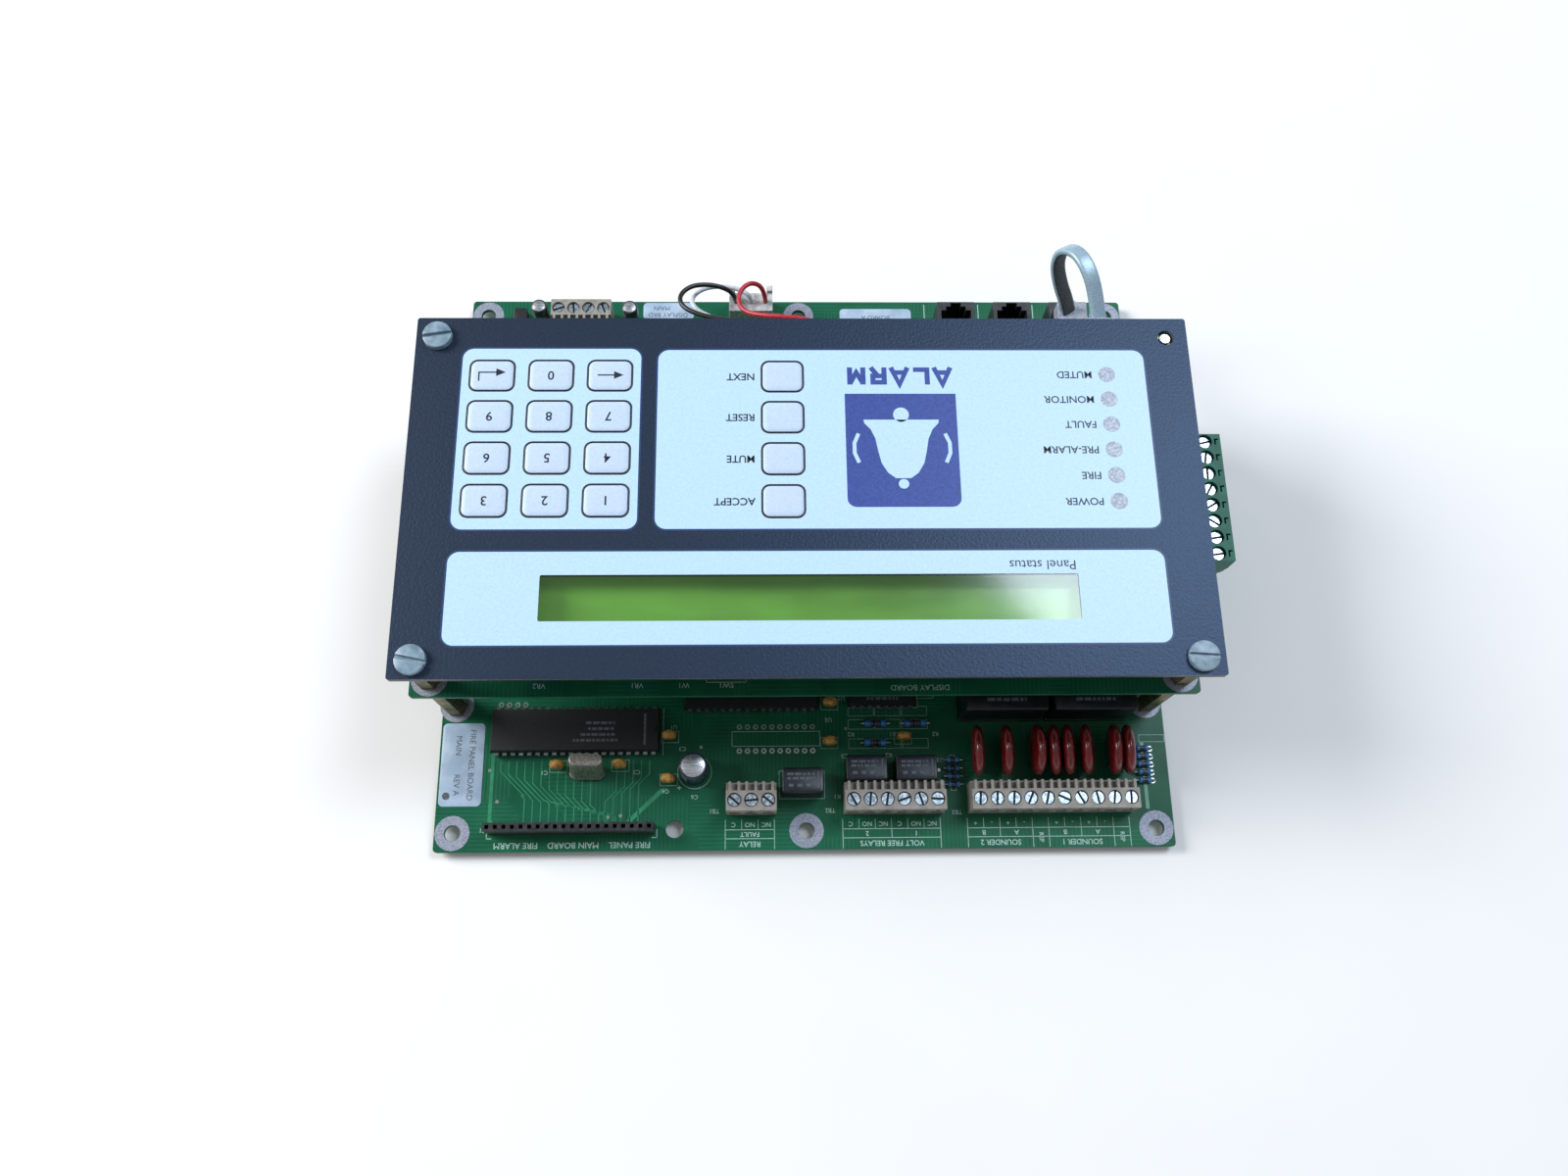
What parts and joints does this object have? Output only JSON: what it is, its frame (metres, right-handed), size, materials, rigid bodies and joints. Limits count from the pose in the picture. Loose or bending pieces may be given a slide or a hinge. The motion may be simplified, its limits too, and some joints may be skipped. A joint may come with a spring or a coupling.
{
  "type": "fire alarm control panel",
  "caption": "Open-frame fire alarm panel electronics: main board with terminals, display board and keypad front plate stacked on standoffs.",
  "frame": {"origin": "centre of the four corner mounting holes, on the underside of the main board", "axes": "+X to the right and +Y to the far edge, seen from the front with the wiring terminals near; +Z out of the front plate"},
  "size_m": [0.2395, 0.1892, 0.0611],
  "materials": {
    "board_laminate": "green solder mask, semi-gloss",
    "plate_finish": "fine satin dark blue-grey paint",
    "membrane_film": "clear polyester with printed silver tracks",
    "overlay_film": "fine velvet texture, printed panels",
    "key_film": "fine velvet texture, embossed",
    "window_film": "clear, light matte",
    "standoff_brass": "bright nickelled brass",
    "screw_nylon": "translucent natural nylon",
    "screw_steel": "bright zinc plate",
    "terminal_grey": "moulded grey polyamide",
    "terminal_green": "moulded green polyamide",
    "jack_black": "moulded black plastic",
    "plug_clear": "clear polycarbonate",
    "cable_sheath": "satin silver-grey vinyl",
    "wire_black": "satin vinyl",
    "wire_white": "satin vinyl",
    "wire_red": "satin vinyl",
    "connector_nylon": "natural nylon",
    "chip_epoxy": "fine matte black epoxy",
    "relay_case": "moulded black case",
    "varistor_coat": "glossy red dipped coat",
    "crystal_steel": "nickelled steel can",
    "capacitor_sleeve": "glossy sleeve, bare aluminium top",
    "capacitor_ceramic": "dipped amber coat",
    "resistor_coat": "glossy blue coat",
    "lcd_glass": "yellow-green display glass",
    "frame_black": "black painted steel",
    "lamp_epoxy": "diffused clear epoxy",
    "trimmer_blue": "moulded blue plastic",
    "rotor_white": "moulded white plastic"
  },
  "bodies": {
    "stack": {"main_board": "board_laminate", "display_board": "board_laminate", "front_plate": "plate_finish", "switch_membrane": "membrane_film", "graphic_overlay": "overlay_film", "display_window": "window_film", "lower_standoffs": "standoff_brass", "upper_standoffs": "standoff_brass", "plate_screws": "screw_nylon", "base_screws": "screw_steel", "lcd_board": "board_laminate", "lcd_frame": "frame_black", "lcd_glass": "lcd_glass", "status_lamps": "lamp_epoxy", "terminal_blocks": "terminal_grey", "terminal_screws": "screw_steel", "plug_header": "terminal_green", "cable_jacks": "jack_black", "cable_plugs": "plug_clear", "wire_connectors": "connector_nylon", "flat_cable": "cable_sheath", "black_wire": "wire_black", "white_wire": "wire_white", "red_wire": "wire_red", "socket_strip": "jack_black", "processor_chip": "chip_epoxy", "logic_chips": "chip_epoxy", "signal_relays": "relay_case", "sounder_relays": "relay_case", "varistors": "varistor_coat", "crystal_can": "crystal_steel", "electrolytic_capacitors": "capacitor_sleeve", "ceramic_capacitors": "capacitor_ceramic", "resistors": "resistor_coat", "trimmer_bodies": "trimmer_blue", "dip_switch": "relay_case"},
    "key_0": {"key_0": "key_film"},
    "key_1": {"key_1": "key_film"},
    "key_2": {"key_2": "key_film"},
    "key_3": {"key_3": "key_film"},
    "key_4": {"key_4": "key_film"},
    "key_5": {"key_5": "key_film"},
    "key_6": {"key_6": "key_film"},
    "key_7": {"key_7": "key_film"},
    "key_8": {"key_8": "key_film"},
    "key_9": {"key_9": "key_film"},
    "key_enter": {"key_enter": "key_film"},
    "key_back": {"key_back": "key_film"},
    "key_accept": {"key_accept": "key_film"},
    "key_mute": {"key_mute": "key_film"},
    "key_reset": {"key_reset": "key_film"},
    "key_next": {"key_next": "key_film"},
    "rotor_1": {"trimmer_rotor_1": "rotor_white"},
    "rotor_2": {"trimmer_rotor_2": "rotor_white"},
    "screw_plug": {"screw_plug": "terminal_green", "plug_screws": "screw_steel"},
    "slider_1": {"switch_slider_1": "rotor_white"},
    "slider_2": {"switch_slider_2": "rotor_white"},
    "slider_3": {"switch_slider_3": "rotor_white"},
    "slider_4": {"switch_slider_4": "rotor_white"}
  },
  "joints": [
    {"name": "key_0_press", "type": "slide", "parent": "stack", "child": "key_0", "axis": [0, 0, -1], "range_m": [0, 0.00035], "stiffness_N_per_m": 4000},
    {"name": "key_1_press", "type": "slide", "parent": "stack", "child": "key_1", "axis": [0, 0, -1], "range_m": [0, 0.00035], "stiffness_N_per_m": 4000},
    {"name": "key_2_press", "type": "slide", "parent": "stack", "child": "key_2", "axis": [0, 0, -1], "range_m": [0, 0.00035], "stiffness_N_per_m": 4000},
    {"name": "key_3_press", "type": "slide", "parent": "stack", "child": "key_3", "axis": [0, 0, -1], "range_m": [0, 0.00035], "stiffness_N_per_m": 4000},
    {"name": "key_4_press", "type": "slide", "parent": "stack", "child": "key_4", "axis": [0, 0, -1], "range_m": [0, 0.00035], "stiffness_N_per_m": 4000},
    {"name": "key_5_press", "type": "slide", "parent": "stack", "child": "key_5", "axis": [0, 0, -1], "range_m": [0, 0.00035], "stiffness_N_per_m": 4000},
    {"name": "key_6_press", "type": "slide", "parent": "stack", "child": "key_6", "axis": [0, 0, -1], "range_m": [0, 0.00035], "stiffness_N_per_m": 4000},
    {"name": "key_7_press", "type": "slide", "parent": "stack", "child": "key_7", "axis": [0, 0, -1], "range_m": [0, 0.00035], "stiffness_N_per_m": 4000},
    {"name": "key_8_press", "type": "slide", "parent": "stack", "child": "key_8", "axis": [0, 0, -1], "range_m": [0, 0.00035], "stiffness_N_per_m": 4000},
    {"name": "key_9_press", "type": "slide", "parent": "stack", "child": "key_9", "axis": [0, 0, -1], "range_m": [0, 0.00035], "stiffness_N_per_m": 4000},
    {"name": "key_enter_press", "type": "slide", "parent": "stack", "child": "key_enter", "axis": [0, 0, -1], "range_m": [0, 0.00035], "stiffness_N_per_m": 4000},
    {"name": "key_back_press", "type": "slide", "parent": "stack", "child": "key_back", "axis": [0, 0, -1], "range_m": [0, 0.00035], "stiffness_N_per_m": 4000},
    {"name": "key_accept_press", "type": "slide", "parent": "stack", "child": "key_accept", "axis": [0, 0, -1], "range_m": [0, 0.00035], "stiffness_N_per_m": 4000},
    {"name": "key_mute_press", "type": "slide", "parent": "stack", "child": "key_mute", "axis": [0, 0, -1], "range_m": [0, 0.00035], "stiffness_N_per_m": 4000},
    {"name": "key_reset_press", "type": "slide", "parent": "stack", "child": "key_reset", "axis": [0, 0, -1], "range_m": [0, 0.00035], "stiffness_N_per_m": 4000},
    {"name": "key_next_press", "type": "slide", "parent": "stack", "child": "key_next", "axis": [0, 0, -1], "range_m": [0, 0.00035], "stiffness_N_per_m": 4000},
    {"name": "rotor_1_turn", "type": "hinge", "parent": "stack", "child": "rotor_1", "pos_m": [-0.0774, -0.0462, 0.0415], "axis": [0, 0, 1], "range_deg": [-130, 130]},
    {"name": "rotor_2_turn", "type": "hinge", "parent": "stack", "child": "rotor_2", "pos_m": [-0.0494, -0.0462, 0.0415], "axis": [0, 0, 1], "range_deg": [-130, 130]},
    {"name": "slider_1_slide", "type": "slide", "parent": "stack", "child": "slider_1", "axis": [0, 1, 0], "range_m": [0, 0.0015]},
    {"name": "slider_2_slide", "type": "slide", "parent": "stack", "child": "slider_2", "axis": [0, 1, 0], "range_m": [0, 0.0015]},
    {"name": "slider_3_slide", "type": "slide", "parent": "stack", "child": "slider_3", "axis": [0, 1, 0], "range_m": [0, 0.0015]},
    {"name": "slider_4_slide", "type": "slide", "parent": "stack", "child": "slider_4", "axis": [0, 1, 0], "range_m": [0, 0.0015]},
    {"name": "screw_plug_pull", "type": "slide", "parent": "stack", "child": "screw_plug", "axis": [1, 0, 0], "range_m": [0, 0.0095]}
  ]
}
